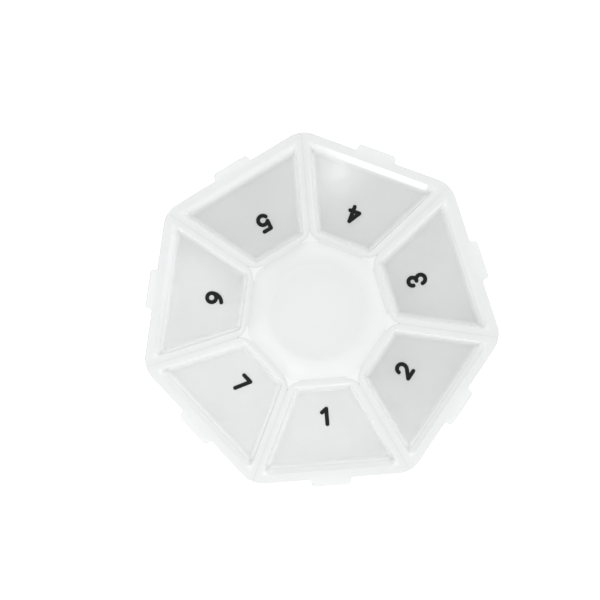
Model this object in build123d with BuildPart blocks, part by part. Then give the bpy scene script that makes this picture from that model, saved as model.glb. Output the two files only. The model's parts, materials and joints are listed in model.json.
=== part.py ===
from build123d import *
from math import cos, radians, tan
import os

# A seven-day pill box in moulded polypropylene: a tray with seven bays round a hollow column, and a cover of
# seven lids that bend up on thin films round a raised hub cap. Millimetres and degrees. The origin is at the
# middle of the underside, +Z is up, and day 1 faces -Y. The days go anticlockwise, seen from above.

# Driving dimensions of the whole box
DAYS = 7
FIRST_DAY = -90.0  # direction that day 1 faces, from +X
COVER_APOTHEM = 42.6  # centre to the middle of a lid's outer edge
COVER_CORNER = 7.0  # plan radius of the seven outer corners

# Tray
RIM_HEIGHT = 17.25  # table to the top of the walls
WALL = 1.5
PARTITION = 1.2
COLUMN_APOTHEM = 18.2  # centre to a bay's hub-side wall
COLUMN_WALL = 2.0
TRAY_FLOOR = 1.4
DRAFT = 1.5  # lean of the moulded walls
BAY_CORNER = 2.5  # plan radius of a bay's corners
BAY_FOOT = 1.2  # round where a bay's walls meet its floor
TRAY_FOOT = 1.0  # round on the tray's bottom edge
TRAY_INSET = 0.1  # lids' outer edge to the tray's rim

# Lids
SEAT_GAP = 0.15  # tray's rim to the underside of a shut lid
LID_GAP = 0.03  # the knife cut that parts neighbouring lids
FLANGE = 1.0  # thickness of a lid's rim
OUTER_RIM = 3.6  # lid's outer edge to its window
SIDE_RIM = 2.05  # line between two days to a window
HUB_RIM = 2.1  # hinge line to a window
WINDOW_SINK = 1.2  # rim's top down to the window
OUTER_LEAN = 1.4  # plan width of the sunken slope on the outer side
SIDE_LEAN = 0.5  # and on the two sides
HUB_LEAN = 0.7  # and on the hub side
WINDOW_CORNER = 1.2  # plan radius of a window's corners
WINDOW_PANEL = 0.8  # thickness of a window
LID_BEVEL = 15.0  # undercut of a lid's sides and hub edge, in degrees, which lets its neighbours pass
LID_HEEL = 4.0  # plan radius of a lid's two hub-side corners, for the same reason
RIM_ROUND = 0.3  # round on the upper edges of a lid's outer side and tab
PLUG_CLEAR = 0.25  # bay's wall to the sunken part of a lid, which plugs the bay's mouth
PLUG_ROUND = 0.25  # round on the plug's lower edge
TAB_WIDTH = 10.3
TAB_REACH = 1.75
TAB_THICK = 0.9
TAB_CORNER = 1.0  # plan radius of the tab's free corners
TAB_ROOT = 0.6  # fillet where the tab leaves the rim

# Hinge films
HINGE_APOTHEM = 17.2  # centre to the line that a lid turns about
WEB_WIDTH = 0.5
WEB_THICK = 0.35

# Hub cap
HUB_RISE = 1.6  # lids' rims up to the top of the pillow
HUB_TOP_RADIUS = 12.3  # the pillow's flat round top
HUB_CORNER = 3.0  # plan radius of the pillow's and the spigot's corners
EAR_REACH = 21.0  # centre to the ends of the plate's ears, which fill the room between two lids' heels
EAR_CLEAR = 0.03  # the plate to the lids' heels and to the films' ends
HUB_SHOULDER = 15.2  # apothem of the pillow where it is steepest
HUB_SHOULDER_DROP = 0.65  # pillow's top down to that place
HUB_SHELL = 1.4  # thickness of the pillow
HUB_HOLLOW = 11.0  # radius of the hollow under the pillow
SPIGOT_CLEAR = 0.1  # column's bore to the spigot
SPIGOT_REACH = 3.0

# Printed figures, drawn as strokes on a centre line
FIGURE_HEIGHT = 5.0
FIGURE_WIDTH = 3.4
FIGURE_STROKE = 1.05
FIGURE_RADIUS = 26.8  # centre to the middle of a figure
INK = 0.06
FIGURES = {  # each figure's strokes, as shares of its half width and half height
    1: [[(Polyline, (-0.8, 0.55), (0.2, 1), (0.2, -1))]],
    2: [
        [
            (ThreePointArc, (-1, 0.45), (0, 1), (1, 0.45)),
            (ThreePointArc, (1, 0.45), (0.9, 0.1), (0.55, -0.2)),
            (Polyline, (0.55, -0.2), (-1, -1), (1, -1)),
        ]
    ],
    3: [
        [(ThreePointArc, (-0.9, 0.6), (0.85, 0.65), (-0.1, 0.05))],
        [(ThreePointArc, (-0.1, 0.05), (0.95, -0.5), (-1, -0.6))],
    ],
    4: [[(Polyline, (0.45, 1), (-1, -0.4), (1.1, -0.4))], [(Line, (0.45, 1), (0.45, -1))]],
    5: [
        [
            (Polyline, (0.9, 1), (-0.75, 1), (-0.9, -0.05)),
            (ThreePointArc, (-0.9, -0.05), (1, -0.35), (-1, -0.65)),
        ]
    ],
    6: [
        [(ThreePointArc, (0.75, 0.95), (-0.65, 0.4), (-1, -0.4))],
        [(ThreePointArc, (-1, -0.4), (0, 0.2), (1, -0.4))],
        [(ThreePointArc, (-1, -0.4), (0, -1), (1, -0.4))],
    ],
    7: [[(Polyline, (-1, 1), (1, 1), (-0.35, -1))]],
}

# Places that follow from the dimensions
HALF = 180 / DAYS
COVER_BASE = RIM_HEIGHT + SEAT_GAP
COVER_TOP = COVER_BASE + FLANGE
WINDOW_TOP = COVER_TOP - WINDOW_SINK
WINDOW_BASE = WINDOW_TOP - WINDOW_PANEL
HUB_TOP = COVER_TOP + HUB_RISE
HUB_EDGE = HINGE_APOTHEM - WEB_WIDTH / 2
LID_INNER = HINGE_APOTHEM + WEB_WIDTH / 2
WINDOW_INNER = HINGE_APOTHEM + HUB_RIM
WINDOW_OUTER = COVER_APOTHEM - OUTER_RIM
TRAY_APOTHEM = COVER_APOTHEM - TRAY_INSET
BAY_OUTER = TRAY_APOTHEM - WALL
COLUMN_BORE = COLUMN_APOTHEM - COLUMN_WALL
PLUG_INNER = COLUMN_APOTHEM + PLUG_CLEAR
PLUG_OUTER = BAY_OUTER - PLUG_CLEAR
PLUG_SIDE = PARTITION / 2 + PLUG_CLEAR
LID_INNER_HALF = LID_INNER * tan(radians(HALF)) - LID_GAP / 2 / cos(radians(HALF))
WEB_LENGTH = 2 * (LID_INNER_HALF - LID_HEEL / tan(radians(90 + HALF) / 2))


def day_turn(day):
    """Direction that a day faces, from +X."""
    return FIRST_DAY + (day - 1) * 360 / DAYS


def wedge(inner, outer, side):
    """A day's trapezoid, facing +X: its two apothems, and its sides' distance from the lines between days."""
    reach = side / cos(radians(HALF))
    near, far = (apothem * tan(radians(HALF)) - reach for apothem in (inner, outer))
    return [(inner, -near), (outer, -far), (outer, far), (inner, near)]


def heptagon(apothem, corner, turn=FIRST_DAY):
    """A rounded polygon with one side facing the turn, added to the sketch that is open."""
    polygon = RegularPolygon(apothem, DAYS, major_radius=False, rotation=turn + HALF)
    fillet(polygon.vertices(), corner)


def write(piece, name):
    """Labels a finished piece and writes it as parts/name.step."""
    piece.label = name
    export_step(piece, f"parts/{name}.step")


def figure(day):
    """A day's figure, added to the sketch that is open, with its middle at 0, 0 and round ends to its strokes."""
    w, h = (FIGURE_WIDTH - FIGURE_STROKE) / 2, (FIGURE_HEIGHT - FIGURE_STROKE) / 2
    for stroke in FIGURES[day]:
        with BuildLine() as pen:
            for form, *points in stroke:
                form(*[(x * w, y * h) for x, y in points])
            offset(amount=FIGURE_STROKE / 2, side=Side.BOTH)
        make_face(pen.edges())


os.makedirs("parts", exist_ok=True)

# Compartment tray: the lower moulding, with its seven bays and the hollow column under the hub
with BuildPart() as compartment_tray:
    with BuildSketch(Plane.XY.offset(RIM_HEIGHT)):
        heptagon(TRAY_APOTHEM, COVER_CORNER)
    extrude(amount=-RIM_HEIGHT, taper=DRAFT)
    fillet(compartment_tray.faces().sort_by(Axis.Z)[0].edges(), TRAY_FOOT)
    with BuildSketch(Plane.XY.offset(RIM_HEIGHT)) as bays:
        with PolarLocations(0, DAYS, start_angle=FIRST_DAY):
            Polygon(*wedge(COLUMN_APOTHEM, BAY_OUTER, PARTITION / 2), align=None)
        fillet(bays.vertices(), BAY_CORNER)
    extrude(amount=TRAY_FLOOR - RIM_HEIGHT, taper=DRAFT, mode=Mode.SUBTRACT)
    bay_floors = compartment_tray.faces().filter_by(Plane.XY).filter_by_position(
        Axis.Z, TRAY_FLOOR / 2, RIM_HEIGHT / 2
    )
    fillet(bay_floors.edges(), BAY_FOOT)
    with BuildSketch(Plane.XY.offset(RIM_HEIGHT)):
        heptagon(COLUMN_BORE, HUB_CORNER)
    extrude(amount=TRAY_FLOOR - RIM_HEIGHT, mode=Mode.SUBTRACT)
write(compartment_tray.part, "compartment_tray")

# Hub cap: the fixed middle of the cover, a plate with a hollow pillow on it and a spigot in the tray's column
with BuildPart() as hub_cap:
    with BuildSketch(Plane.XY.offset(RIM_HEIGHT)):
        Circle(EAR_REACH)
        with BuildSketch(mode=Mode.PRIVATE) as lid_room:
            Polygon(*wedge(LID_INNER - EAR_CLEAR, COVER_APOTHEM, LID_GAP / 2 - EAR_CLEAR), align=None)
            fillet(lid_room.vertices().sort_by(Axis.X)[:2], LID_HEEL + EAR_CLEAR)
            with Locations((HINGE_APOTHEM, 0)):
                Rectangle(WEB_WIDTH, WEB_LENGTH + 2 * EAR_CLEAR)
        with PolarLocations(0, DAYS, start_angle=FIRST_DAY):
            add(lid_room.sketch, mode=Mode.SUBTRACT)
    extrude(amount=COVER_TOP - RIM_HEIGHT)
    shoulder_share = (HUB_EDGE - HUB_SHOULDER) / (HUB_EDGE - HUB_TOP_RADIUS)
    with BuildSketch(Plane.XY.offset(COVER_TOP)):
        heptagon(HUB_EDGE, HUB_CORNER)
    with BuildSketch(Plane.XY.offset(HUB_TOP - HUB_SHOULDER_DROP)):
        heptagon(HUB_SHOULDER, HUB_CORNER + shoulder_share * (HUB_SHOULDER - HUB_CORNER))
    with BuildSketch(Plane.XY.offset(HUB_TOP)):
        heptagon(HUB_TOP_RADIUS, HUB_TOP_RADIUS * 0.97)
    loft()
    with BuildSketch(Plane.XY.offset(RIM_HEIGHT)):
        heptagon(COLUMN_BORE - SPIGOT_CLEAR, HUB_CORNER - SPIGOT_CLEAR)
    extrude(amount=-SPIGOT_REACH)
    with BuildSketch(Plane.XY.offset(RIM_HEIGHT - SPIGOT_REACH)):
        Circle(HUB_HOLLOW)
    extrude(amount=HUB_TOP - HUB_SHELL - RIM_HEIGHT + SPIGOT_REACH, mode=Mode.SUBTRACT)
write(hub_cap.part, "hub_cap")

# Lid, facing +X: a frosted rim with a finger tab, round a sunken window that plugs the bay's mouth
with BuildPart() as lid:
    with BuildSketch(Plane.XY.offset(COVER_TOP)):
        flange = Polygon(*wedge(LID_INNER, COVER_APOTHEM + COVER_CORNER, LID_GAP / 2), align=None)
        fillet(flange.vertices().sort_by(Axis.X)[:2], LID_HEEL)
    extrude(amount=-FLANGE, taper=LID_BEVEL)
    with BuildSketch(Plane.XY.offset(COVER_BASE)):
        heptagon(COVER_APOTHEM, COVER_CORNER, turn=0)
    extrude(amount=FLANGE, mode=Mode.INTERSECT)
    with BuildSketch(Plane.XY.offset(COVER_TOP - TAB_THICK)):
        with Locations((COVER_APOTHEM, 0)):
            tab = Rectangle(2 * TAB_REACH, TAB_WIDTH)
        fillet(tab.vertices().sort_by(Axis.X)[-2:], TAB_CORNER)
    extrude(amount=TAB_THICK)
    tab_roots = lid.edges().filter_by(Axis.Z).filter_by_position(
        Axis.X, COVER_APOTHEM - TAB_THICK / 100, COVER_APOTHEM + TAB_THICK / 100
    )
    fillet(tab_roots.sort_by(Axis.Z)[-2:], TAB_ROOT)
    outer_edges = lid.faces().sort_by(Axis.Z)[-1].edges().filter_by_position(
        Axis.X, COVER_APOTHEM - COVER_CORNER * (1 - cos(radians(2 * HALF))), COVER_APOTHEM + TAB_REACH
    )
    fillet(outer_edges, RIM_ROUND)
    with BuildSketch(Plane.XY.offset(WINDOW_BASE)) as plug:
        Polygon(*wedge(PLUG_INNER, PLUG_OUTER, PLUG_SIDE), align=None)
        fillet(plug.vertices().sort_by(Axis.X)[:2], LID_HEEL)
        fillet(plug.vertices().sort_by(Axis.X)[-2:], BAY_CORNER)
    extrude(amount=COVER_BASE - WINDOW_BASE)
    fillet(lid.faces().sort_by(Axis.Z)[0].edges(), PLUG_ROUND)
    with BuildSketch(Plane.XY.offset(WINDOW_TOP)):
        floor = Polygon(*wedge(WINDOW_INNER, WINDOW_OUTER, SIDE_RIM), align=None)
        fillet(floor.vertices(), WINDOW_CORNER)
    with BuildSketch(Plane.XY.offset(COVER_TOP)):
        mouth = Polygon(
            *wedge(WINDOW_INNER - HUB_LEAN, WINDOW_OUTER + OUTER_LEAN, SIDE_RIM - SIDE_LEAN), align=None
        )
        fillet(mouth.vertices(), WINDOW_CORNER + SIDE_LEAN)
    loft(mode=Mode.SUBTRACT)

# Hinge film, facing +X, flush with the top of the lids' rims
with BuildPart() as hinge_web:
    with BuildSketch(Plane.XY.offset(COVER_TOP)):
        with Locations((HINGE_APOTHEM, 0)):
            Rectangle(WEB_WIDTH, WEB_LENGTH)
    extrude(amount=-WEB_THICK)

for day in range(1, DAYS + 1):
    write(lid.part.rotate(Axis.Z, day_turn(day)), f"lid_{day}")
    write(hinge_web.part.rotate(Axis.Z, day_turn(day)), f"hinge_web_{day}")
    # A day's figure, printed on the window with its head towards the hub
    figure_plane = Plane(origin=(FIGURE_RADIUS, 0, WINDOW_TOP), x_dir=(0, 1, 0), z_dir=(0, 0, 1))
    with BuildPart() as number:
        with BuildSketch(figure_plane):
            figure(day)
        extrude(amount=INK)
    write(number.part.rotate(Axis.Z, day_turn(day)), f"number_{day}")
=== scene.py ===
import bmesh
import bpy
import json
from math import cos, pi, radians, sin
from mathutils import Matrix, Vector


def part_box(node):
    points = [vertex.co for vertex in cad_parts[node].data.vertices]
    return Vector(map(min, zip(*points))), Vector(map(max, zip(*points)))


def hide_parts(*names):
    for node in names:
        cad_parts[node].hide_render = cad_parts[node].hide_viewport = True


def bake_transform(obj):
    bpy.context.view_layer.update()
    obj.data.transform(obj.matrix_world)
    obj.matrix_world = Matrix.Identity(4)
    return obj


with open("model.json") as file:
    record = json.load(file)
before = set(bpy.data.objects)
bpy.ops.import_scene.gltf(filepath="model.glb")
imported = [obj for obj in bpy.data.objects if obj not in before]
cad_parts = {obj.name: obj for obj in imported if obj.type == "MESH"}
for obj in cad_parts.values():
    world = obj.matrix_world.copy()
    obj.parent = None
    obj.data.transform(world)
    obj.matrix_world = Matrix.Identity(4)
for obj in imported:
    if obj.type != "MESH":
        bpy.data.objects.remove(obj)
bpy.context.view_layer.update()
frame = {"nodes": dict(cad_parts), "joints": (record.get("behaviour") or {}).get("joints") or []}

# The pill box stands shut on white paper. Its tray is the lower moulding: seven bays round a hollow column,
# injection moulded in natural polypropylene. With no pigment the walls look like thin milk glass, and the
# polished mould leaves them glossy. Lengths are in millimetres until MM turns them to metres.
MM = 0.001
POLYPROPYLENE = "#f6f8f8"
POLYPROPYLENE_IOR = 1.49
SCATTER_SHARE = 0.1  # share of the light that creeps sideways inside the plastic
SCATTER_DEPTH = 1.0  # how far it creeps
SCATTER_COLOURS = (1.0, 1.0, 1.0)  # red, green and blue creep alike
WAVE_SIZE = 5.0  # shallow waves that a moulding takes as it cools
WAVE_DEPTH = 0.1
WAVE_STRENGTH = 0.25
WAVE_SPAN = (0.3, 0.7)  # noise values taken as the waves' troughs and crests
WAVE_GLOSS = 0.1  # share by which the roughness falls and rises with the waves
GRIT_SIZE = 0.5  # spark-eroded grain, about 0.1 on the real mould, drawn coarser so that it shows
GRIT_DEPTH = 0.02
CLOUD_SIZE = 14.0  # drifts of milkiness where the melt met
CLOUD_SPAN = (0.35, 0.65)  # noise values taken as clearest and milkiest
TRAY_COVER = (0.45, 0.55)  # how much a wall hides where it is clearest and where it is milkiest


def linear(hex_colour):
    """A colour picked as sRGB hex, as the linear values that a shader takes."""
    values = [int(hex_colour[i : i + 2], 16) / 255 for i in (1, 3, 5)]
    return [v / 12.92 if v <= 0.04045 else ((v + 0.055) / 1.055) ** 2.4 for v in values] + [1.0]


def add_node(material, kind, inputs=(), **settings):
    """Adds a node. inputs gives each input, by name or number, a value or the output that feeds it."""
    node = material.node_tree.nodes.new(kind)
    for name, value in settings.items():
        setattr(node, name, value)
    for name, value in dict(inputs).items():
        if isinstance(value, bpy.types.NodeSocket):
            material.node_tree.links.new(value, node.inputs[name])
        else:
            node.inputs[name].default_value = value
    return node


def new_material(name):
    """An empty node material and its output."""
    material = bpy.data.materials.new(name)
    material.use_nodes = True
    material.node_tree.nodes.clear()
    return material, add_node(material, "ShaderNodeOutputMaterial")


def finish_node(name, material):
    """Gives a CAD node its material."""
    node = frame["nodes"][name]
    node.data.materials.clear()
    node.data.materials.append(material)


def cooling_waves(material):
    """The waves of a moulded face, from 0 to 1."""
    place = add_node(material, "ShaderNodeTexCoord").outputs["Object"]
    waves = add_node(
        material, "ShaderNodeTexNoise", {"Vector": place, "Scale": 1 / (WAVE_SIZE * MM), "Detail": 1.0}
    )
    return waves.outputs["Fac"]


def moulded_normal(material, grain):
    """Bump of a moulded face: its cooling waves, and the grain of the mould as strong as asked for."""
    waves = add_node(
        material,
        "ShaderNodeBump",
        {"Height": cooling_waves(material), "Strength": WAVE_STRENGTH, "Distance": WAVE_DEPTH * MM},
    )
    place = add_node(material, "ShaderNodeTexCoord").outputs["Object"]
    grit = add_node(
        material, "ShaderNodeTexNoise", {"Vector": place, "Scale": 1 / (GRIT_SIZE * MM), "Detail": 2.0}
    )
    bump = add_node(
        material,
        "ShaderNodeBump",
        {
            "Height": grit.outputs["Fac"],
            "Normal": waves.outputs["Normal"],
            "Strength": grain,
            "Distance": GRIT_DEPTH * MM,
        },
    )
    return bump.outputs["Normal"]


def moulded_roughness(material, roughness):
    """Roughness of a moulded face, a little uneven with its cooling waves."""
    rough = add_node(
        material,
        "ShaderNodeMapRange",
        {
            "Value": cooling_waves(material),
            "From Min": WAVE_SPAN[0],
            "From Max": WAVE_SPAN[1],
            "To Min": roughness * (1 - WAVE_GLOSS),
            "To Max": roughness * (1 + WAVE_GLOSS),
        },
    )
    return rough.outputs["Result"]


def clouded(material, cover):
    """How much the plastic hides: a value that drifts over the cloud size between the two of cover."""
    place = add_node(material, "ShaderNodeTexCoord").outputs["Object"]
    clouds = add_node(
        material, "ShaderNodeTexNoise", {"Vector": place, "Scale": 1 / (CLOUD_SIZE * MM), "Detail": 2.0}
    )
    drift = add_node(
        material,
        "ShaderNodeMapRange",
        {
            "Value": clouds.outputs["Fac"],
            "From Min": CLOUD_SPAN[0],
            "From Max": CLOUD_SPAN[1],
            "To Min": cover[0],
            "To Max": cover[1],
        },
    )
    return drift.outputs["Result"]


def milky_polypropylene(name, roughness, grain):
    """A moulding's plastic and its shader: a glossy skin over a milky body, whose Alpha is still open."""
    material, output = new_material(name)
    skin = add_node(
        material,
        "ShaderNodeBsdfPrincipled",
        {
            "Base Color": linear(POLYPROPYLENE),
            "IOR": POLYPROPYLENE_IOR,
            "Subsurface Weight": SCATTER_SHARE,
            "Subsurface Scale": SCATTER_DEPTH * MM,
            "Subsurface Radius": SCATTER_COLOURS,
            "Roughness": moulded_roughness(material, roughness),
            "Normal": moulded_normal(material, grain),
        },
    )
    material.node_tree.links.new(skin.outputs["BSDF"], output.inputs["Surface"])
    return material, skin


tray_plastic, tray_skin = milky_polypropylene("polypropylene_tray", roughness=0.22, grain=0.1)
tray_plastic.node_tree.links.new(clouded(tray_plastic, TRAY_COVER), tray_skin.inputs["Alpha"])
finish_node("compartment_tray", tray_plastic)

# The hub cap is the fixed middle of the cover, a pillow of the same plastic on a spigot in the tray's column.
# Its flat top is a thin shell over a hollow, and its cover rises out to the deep slopes, so the top looks a
# little greyer and the slopes whiter: partly the thin shell, partly a painted highlight round the slopes.
SHELL_AND_SHEEN_EDGE = (9.0, 16.5)  # radii between which the plastic grows from thin to deep and the painted highlight on the slopes grows in
HUB_COVER_AND_SHEEN = (0.755, 0.9)  # how much it hides at each
FLATTEN = (1.0, 1.0, 0.0)  # drops the height of a point
hub_plastic, hub_skin = milky_polypropylene("polypropylene_hub", roughness=0.34, grain=0.02)
hub_place = add_node(hub_plastic, "ShaderNodeTexCoord").outputs["Object"]
hub_flat = add_node(hub_plastic, "ShaderNodeVectorMath", {0: hub_place, 1: FLATTEN}, operation="MULTIPLY")
hub_radius = add_node(hub_plastic, "ShaderNodeVectorMath", {0: hub_flat.outputs[0]}, operation="LENGTH")
# The cover rises with the radius, so the slopes show whiter than the top: partly thicker plastic, partly a
# painted highlight.
hub_cover_and_sheen = add_node(
    hub_plastic,
    "ShaderNodeMapRange",
    {
        "Value": hub_radius.outputs["Value"],
        "From Min": SHELL_AND_SHEEN_EDGE[0] * MM,
        "From Max": SHELL_AND_SHEEN_EDGE[1] * MM,
        "To Min": HUB_COVER_AND_SHEEN[0],
        "To Max": HUB_COVER_AND_SHEEN[1],
    },
    interpolation_type="SMOOTHSTEP",
)
hub_plastic.node_tree.links.new(hub_cover_and_sheen.outputs["Result"], hub_skin.inputs["Alpha"])
finish_node("hub_cap", hub_plastic)

# Each lid is a thin pan of the same moulding, frosted on its rim and finger tab by the grain of the mould.
# Its sunken window and the slopes round it are polished. The thin window shows the bay, and it turns milky
# over a wide band at its edge, a painted light that lifts the shade of the rim's wall there. The steep faces
# are painted whiter and made to hide more, a painted light over the shade that falls on them.
DAYS = 7
HALF_DAY = pi / DAYS
FIRST_DAY = radians(-90)  # day 1 faces -Y, and the days go anticlockwise
WINDOW = (19.65, 38.65, 2.4)  # from the centre to its near and far side, and from the line between two days
WINDOW_PAINTED_LIGHT_BLUR = 1.0  # the window turns milky over this much on each side of that outline, a painted light over the rim's shade
MOUTH = (18.6, 40.4, 1.55)  # the same three distances for the top of the slopes
MOUTH_BLUR = 0.3
LID_GRAIN = 0.05
LID_ROUGHNESS = (0.38, 0.12)  # frosted, and polished
LID_COVER = (0.765, 0.845)  # how much each of the two hides
WINDOW_CLEARNESS = 0.605  # how much less the window hides
PAINTED_SLOPE_TURN = (0.85, 0.35)  # how much a face looks up where the painted light on steep faces begins, and where it is full
# The white that steep faces are painted, a painted light over their shade.
PAINTED_SLOPE_LIGHT = "#ffffff"
PAINTED_SLOPE_COVER = 0.18  # how much more a steep face hides, which paints it lighter
HEAD_ON_MIRROR = ((POLYPROPYLENE_IOR - 1) / (POLYPROPYLENE_IOR + 1)) ** 2  # share mirrored straight on
GRAZING_POWER = 5.0  # how late the mirroring grows as the look gets flatter


def lid_share(material, outline, blur):
    """1 inside an outline on the lids and 0 outside it. One day's outline is repeated round the hub."""
    near, far, side = outline
    place = add_node(material, "ShaderNodeTexCoord").outputs["Object"]
    axes = add_node(material, "ShaderNodeSeparateXYZ", {"Vector": place})
    angle = add_node(
        material, "ShaderNodeMath", {0: axes.outputs["Y"], 1: axes.outputs["X"]}, operation="ARCTAN2"
    )
    from_first = add_node(
        material, "ShaderNodeMath", {0: angle.outputs[0], 1: FIRST_DAY}, operation="SUBTRACT"
    )
    from_middle = add_node(
        material, "ShaderNodeMath", {0: from_first.outputs[0], 1: HALF_DAY, 2: -HALF_DAY}, operation="WRAP"
    )
    flat = add_node(material, "ShaderNodeVectorMath", {0: place, 1: FLATTEN}, operation="MULTIPLY")
    radius = add_node(material, "ShaderNodeVectorMath", {0: flat.outputs[0]}, operation="LENGTH")
    cosine = add_node(material, "ShaderNodeMath", {0: from_middle.outputs[0]}, operation="COSINE")
    outward = add_node(
        material, "ShaderNodeMath", {0: radius.outputs["Value"], 1: cosine.outputs[0]}, operation="MULTIPLY"
    )
    aside = add_node(material, "ShaderNodeMath", {0: from_middle.outputs[0]}, operation="ABSOLUTE")
    to_line = add_node(material, "ShaderNodeMath", {0: HALF_DAY, 1: aside.outputs[0]}, operation="SUBTRACT")
    sine = add_node(material, "ShaderNodeMath", {0: to_line.outputs[0]}, operation="SINE")
    from_line = add_node(
        material, "ShaderNodeMath", {0: radius.outputs["Value"], 1: sine.outputs[0]}, operation="MULTIPLY"
    )
    past_side = add_node(
        material, "ShaderNodeMath", {0: from_line.outputs[0], 1: side * MM}, operation="SUBTRACT"
    )
    past_near = add_node(
        material, "ShaderNodeMath", {0: outward.outputs[0], 1: near * MM}, operation="SUBTRACT"
    )
    before_far = add_node(
        material, "ShaderNodeMath", {0: far * MM, 1: outward.outputs[0]}, operation="SUBTRACT"
    )
    nearest_two = add_node(
        material, "ShaderNodeMath", {0: past_side.outputs[0], 1: past_near.outputs[0]}, operation="MINIMUM"
    )
    nearest = add_node(
        material, "ShaderNodeMath", {0: nearest_two.outputs[0], 1: before_far.outputs[0]}, operation="MINIMUM"
    )
    share = add_node(
        material,
        "ShaderNodeMapRange",
        {"Value": nearest.outputs[0], "From Min": -blur * MM, "From Max": blur * MM},
        interpolation_type="SMOOTHSTEP",
    )
    return share.outputs["Result"]


def lid_polypropylene(name):
    """Natural polypropylene with a clear window and polished slopes in a frosted rim, all under one gloss."""
    material, output = new_material(name)
    # The wide milky edge of the window is painted light, lifting the shade that the rim's wall casts there.
    window = lid_share(material, WINDOW, WINDOW_PAINTED_LIGHT_BLUR)
    polish = lid_share(material, MOUTH, MOUTH_BLUR)
    normal = moulded_normal(material, LID_GRAIN)
    rough = add_node(
        material,
        "ShaderNodeMapRange",
        {"Value": polish, "To Min": LID_ROUGHNESS[0], "To Max": LID_ROUGHNESS[1]},
    )
    place = add_node(material, "ShaderNodeTexCoord")
    facing = add_node(material, "ShaderNodeSeparateXYZ", {"Vector": place.outputs["Normal"]})
    upward = add_node(material, "ShaderNodeMath", {0: facing.outputs["Z"]}, operation="ABSOLUTE")
    # Steep faces are painted whiter and made to hide more: painted light over the shade that falls on them.
    steep_painted_light = add_node(
        material,
        "ShaderNodeMapRange",
        {"Value": upward.outputs[0], "From Min": PAINTED_SLOPE_TURN[0], "From Max": PAINTED_SLOPE_TURN[1]},
    )
    colour = add_node(
        material,
        "ShaderNodeMix",
        {0: steep_painted_light.outputs["Result"], 6: linear(POLYPROPYLENE), 7: linear(PAINTED_SLOPE_LIGHT)},
        data_type="RGBA",
    )
    full_cover = add_node(
        material, "ShaderNodeMapRange", {"Value": polish, "To Min": LID_COVER[0], "To Max": LID_COVER[1]}
    )
    window_cover = add_node(
        material,
        "ShaderNodeMath",
        {0: window, 1: -WINDOW_CLEARNESS, 2: full_cover.outputs["Result"]},
        operation="MULTIPLY_ADD",
    )
    cover = add_node(
        material,
        "ShaderNodeMath",
        {0: steep_painted_light.outputs["Result"], 1: PAINTED_SLOPE_COVER, 2: window_cover.outputs[0]},
        operation="MULTIPLY_ADD",
    )
    body = add_node(
        material,
        "ShaderNodeBsdfPrincipled",
        {
            "Base Color": colour.outputs[2],
            "IOR": POLYPROPYLENE_IOR,
            "Specular IOR Level": 0.0,
            "Subsurface Weight": SCATTER_SHARE,
            "Subsurface Scale": SCATTER_DEPTH * MM,
            "Subsurface Radius": SCATTER_COLOURS,
            "Roughness": rough.outputs["Result"],
            "Normal": normal,
            "Alpha": cover.outputs[0],
        },
    )
    shine = add_node(
        material, "ShaderNodeBsdfAnisotropic", {"Roughness": rough.outputs["Result"], "Normal": normal}
    )
    slant = add_node(material, "ShaderNodeLayerWeight", {"Blend": 0.5, "Normal": normal})
    grazing = add_node(
        material, "ShaderNodeMath", {0: slant.outputs["Facing"], 1: GRAZING_POWER}, operation="POWER"
    )
    mirror = add_node(
        material, "ShaderNodeMapRange", {"Value": grazing.outputs[0], "To Min": HEAD_ON_MIRROR}
    )
    skin = add_node(
        material,
        "ShaderNodeMixShader",
        {0: mirror.outputs["Result"], 1: body.outputs["BSDF"], 2: shine.outputs["BSDF"]},
    )
    material.node_tree.links.new(skin.outputs["Shader"], output.inputs["Surface"])
    return material


frosted_and_clear = lid_polypropylene("polypropylene_lid")
for day in range(1, DAYS + 1):
    finish_node(f"lid_{day}", frosted_and_clear)

# The hinge films are the thin lines of the cover's moulding that join each lid to the hub cap and bend with
# it. The plastic is the same, but the first bend drew it out along a shallow groove and left it whiter.
# All seven films are alike, and day 1's lies square to the axes, so its box gives the size of each.
FILM_STEPS = 12  # rows of faces across the film, which give its groove a round shape
FILM_THICKNESS = 0.35
FILM_GROOVE = 0.05  # depth of the groove in the film's top
FILM_SINK = 0.02  # the film's top lies this far under the rims' tops, so that it joins them inside
FILM_LAP = 0.15  # how far the film runs into the hub cap and into the lid
FILM_COVER = (0.78, 0.82)  # how much a film hides where it is clearest and where it is milkiest
flexed_film, film_skin = milky_polypropylene("flexed_polypropylene", roughness=0.4, grain=0.05)
flexed_film.node_tree.links.new(clouded(flexed_film, FILM_COVER), film_skin.inputs["Alpha"])


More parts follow.
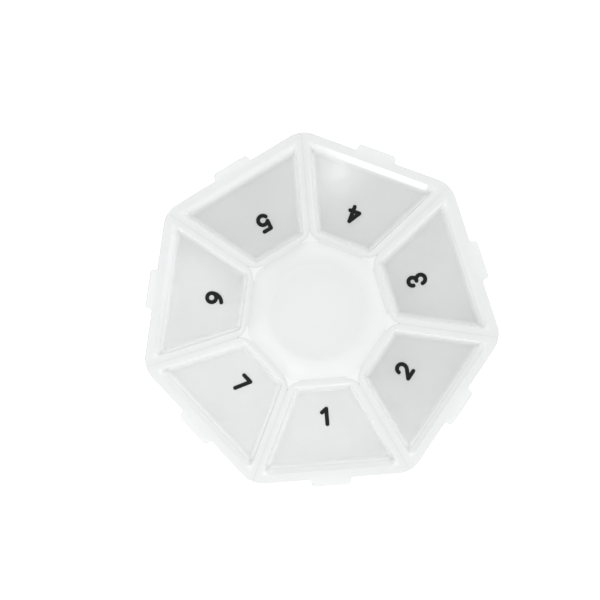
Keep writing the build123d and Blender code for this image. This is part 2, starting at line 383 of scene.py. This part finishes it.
def hinge_film(day):
    """The film of one day, with its groove along the line that the lid turns about."""
    hinge = next(joint for joint in frame["joints"] if joint["name"] == f"lid_{day}_hinge")
    low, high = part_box("hinge_web_1")
    reach = (high.x - low.x) / 2  # half of its length along the hinge
    width = (high.y - low.y) / 2 + FILM_LAP * MM  # half of its width across the hinge
    middle = Vector(hinge["pos_m"])
    along = Vector(hinge["axis"])
    outward = Vector((middle.x, middle.y, 0)).normalized()
    film = bmesh.new()
    rows = []
    for step in range(FILM_STEPS + 1):
        share = 2 * step / FILM_STEPS - 1
        groove = (FILM_SINK + FILM_GROOVE * cos(share * pi / 2) ** 2) * MM
        line = middle + outward * width * share
        top = line - Vector((0, 0, groove))
        bottom = line - Vector((0, 0, FILM_THICKNESS * MM))
        corners = ((top, -reach), (top, reach), (bottom, reach), (bottom, -reach))
        rows.append([film.verts.new(point + along * side) for point, side in corners])
    for near, far in zip(rows, rows[1:]):
        for corner in range(4):
            following = (corner + 1) % 4
            film.faces.new((near[corner], near[following], far[following], far[corner]))
    film.faces.new(rows[0][::-1])
    film.faces.new(rows[-1])
    bmesh.ops.recalc_face_normals(film, faces=film.faces)
    mesh = bpy.data.meshes.new(f"hinge_film_{day}")
    film.to_mesh(mesh)
    film.free()
    mesh.materials.append(flexed_film)
    piece = bpy.data.objects.new(mesh.name, mesh)
    bpy.context.scene.collection.objects.link(piece)
    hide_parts(f"hinge_web_{day}")
    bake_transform(piece)


for day in range(1, DAYS + 1):
    hinge_film(day)

# The figures are black ink, printed on the windows with a soft pad.
# The ink is matt, with a fine grain of its own.
INK = "#0c0c0d"
INK_GLOSS = 0.2
ink, ink_output = new_material("pad_printed_ink")
ink_skin = add_node(
    ink,
    "ShaderNodeBsdfPrincipled",
    {
        "Base Color": linear(INK),
        "Specular IOR Level": INK_GLOSS,
        "Roughness": moulded_roughness(ink, roughness=0.5),
        "Normal": moulded_normal(ink, grain=0.2),
    },
)
ink.node_tree.links.new(ink_skin.outputs["BSDF"], ink_output.inputs["Surface"])
for day in range(1, DAYS + 1):
    finish_node(f"number_{day}", ink)

# The table is a plain white paper sheet, cut far larger than the picture, in a pale room.
# What is seen of it is brought up to white by a weak lift, and the box's shadow is lost in that white.
SHEET_SIZE = 4000.0
PAPER = "#e4e4e4"
PAPER_LIFT = 0.6  # brightness added to the paper where it is seen
WHITE = (1, 1, 1, 1)
sheet_mesh = bpy.data.meshes.new("table_sheet")
half = SHEET_SIZE / 2 * MM
sheet_corners = [(-half, -half, 0), (half, -half, 0), (half, half, 0), (-half, half, 0)]
sheet_mesh.from_pydata(sheet_corners, [], [(0, 1, 2, 3)])
sheet = bpy.data.objects.new("table_sheet", sheet_mesh)
bpy.context.scene.collection.objects.link(sheet)
paper, paper_output = new_material("white_paper")
paper_path = add_node(paper, "ShaderNodeLightPath")
looked_at = add_node(
    paper,
    "ShaderNodeMath",
    {0: paper_path.outputs["Is Camera Ray"], 1: paper_path.outputs["Is Glossy Ray"]},
    operation="MAXIMUM",
)
paper_seen = add_node(
    paper,
    "ShaderNodeMath",
    {0: looked_at.outputs[0], 1: paper_path.outputs["Is Transmission Ray"]},
    operation="MAXIMUM",
)
matt = add_node(paper, "ShaderNodeBsdfDiffuse", {"Color": linear(PAPER)})
lift = add_node(paper, "ShaderNodeMath", {0: paper_seen.outputs[0], 1: PAPER_LIFT}, operation="MULTIPLY")
glow = add_node(paper, "ShaderNodeEmission", {"Color": WHITE, "Strength": lift.outputs[0]})
both = add_node(paper, "ShaderNodeAddShader", {0: matt.outputs[0], 1: glow.outputs[0]})
paper.node_tree.links.new(both.outputs[0], paper_output.inputs["Surface"])
sheet_mesh.materials.append(paper)

# The lamps are soft boxes: one wide and almost overhead, a low one like a window on the day 1 side, and three
# weaker fills from around. A small ceiling lamp gives the spot of light that the day 4 window mirrors.


def soft_lamp(name, towards, distance, size, brightness):
    """A square soft lamp that faces the box. Its brightness is that of its face, where a white wall has 1."""
    lamp = bpy.data.objects.new(name, bpy.data.lights.new(name, "AREA"))
    lamp.data.size = size * MM
    lamp.data.energy = brightness * pi * (size * MM) ** 2
    lamp.location = Vector(towards).normalized() * distance * MM
    lamp.rotation_mode = "QUATERNION"
    lamp.rotation_quaternion = lamp.location.to_track_quat("Z", "Y")
    bpy.context.scene.collection.objects.link(lamp)


soft_lamp("softbox", towards=(-0.27, -0.27, 1.0), distance=800, size=500, brightness=2.4)
soft_lamp("low_window", towards=(-0.42, -0.87, 0.25), distance=700, size=155, brightness=9.0)
soft_lamp("far_fill", towards=(0.06, 0.78, 0.62), distance=800, size=500, brightness=1.5)
soft_lamp("near_fill", towards=(-0.05, -0.78, 0.62), distance=800, size=500, brightness=0.8)
soft_lamp("side_fill", towards=(0.83, 0.07, 0.55), distance=800, size=500, brightness=1.5)
soft_lamp("ceiling_lamp", towards=(-0.014, 0.197, 1.0), distance=800, size=20, brightness=20.0)

# The room is a plain pale surround with no walls of its own, and it lights the box from every side.
# Where the camera sees it, straight or through the plastic, it is as white as the paper.
ROOM_LIGHT = 0.52
ROOM_SEEN = 1.0
world = bpy.data.worlds.new("pale_room")
world.use_nodes = True
bpy.context.scene.world = world
backdrop = world.node_tree.nodes["Background"]
room_path = add_node(world, "ShaderNodeLightPath")
room_seen = add_node(
    world,
    "ShaderNodeMath",
    {0: room_path.outputs["Is Camera Ray"], 1: room_path.outputs["Is Transmission Ray"]},
    operation="MAXIMUM",
)
room_strength = add_node(
    world, "ShaderNodeMapRange", {"Value": room_seen.outputs[0], "To Min": ROOM_LIGHT, "To Max": ROOM_SEEN}
)
world.node_tree.links.new(room_strength.outputs["Result"], backdrop.inputs["Strength"])
backdrop.inputs["Color"].default_value = WHITE

# The camera is held by hand almost straight above the box, a little towards its day 3 side, with a short tele
# lens. So the box lies a few degrees turned in the picture and off its middle.
CAMERA_PLACE = Vector((13.8, -3.8, 274.0)) * MM
CAMERA_AIM = Vector((-4.0, 3.5, 18.4)) * MM
CAMERA_ROLL = radians(4.9)
CAMERA_LENS = 60.0
CAMERA_NEAREST = 10  # nothing nearer than this is drawn
camera = bpy.data.objects.new("camera", bpy.data.cameras.new("camera"))
camera.data.lens = CAMERA_LENS
camera.data.clip_start = CAMERA_NEAREST * MM
away = (CAMERA_PLACE - CAMERA_AIM).normalized()
right = Vector((sin(CAMERA_ROLL), cos(CAMERA_ROLL), 0)).cross(away).normalized()
camera_turn = Matrix((right, away.cross(right), away)).transposed().to_4x4()
camera.matrix_world = Matrix.Translation(CAMERA_PLACE) @ camera_turn
bpy.context.scene.collection.objects.link(camera)
bpy.context.scene.camera = camera
bpy.context.scene.view_settings.view_transform = "Standard"
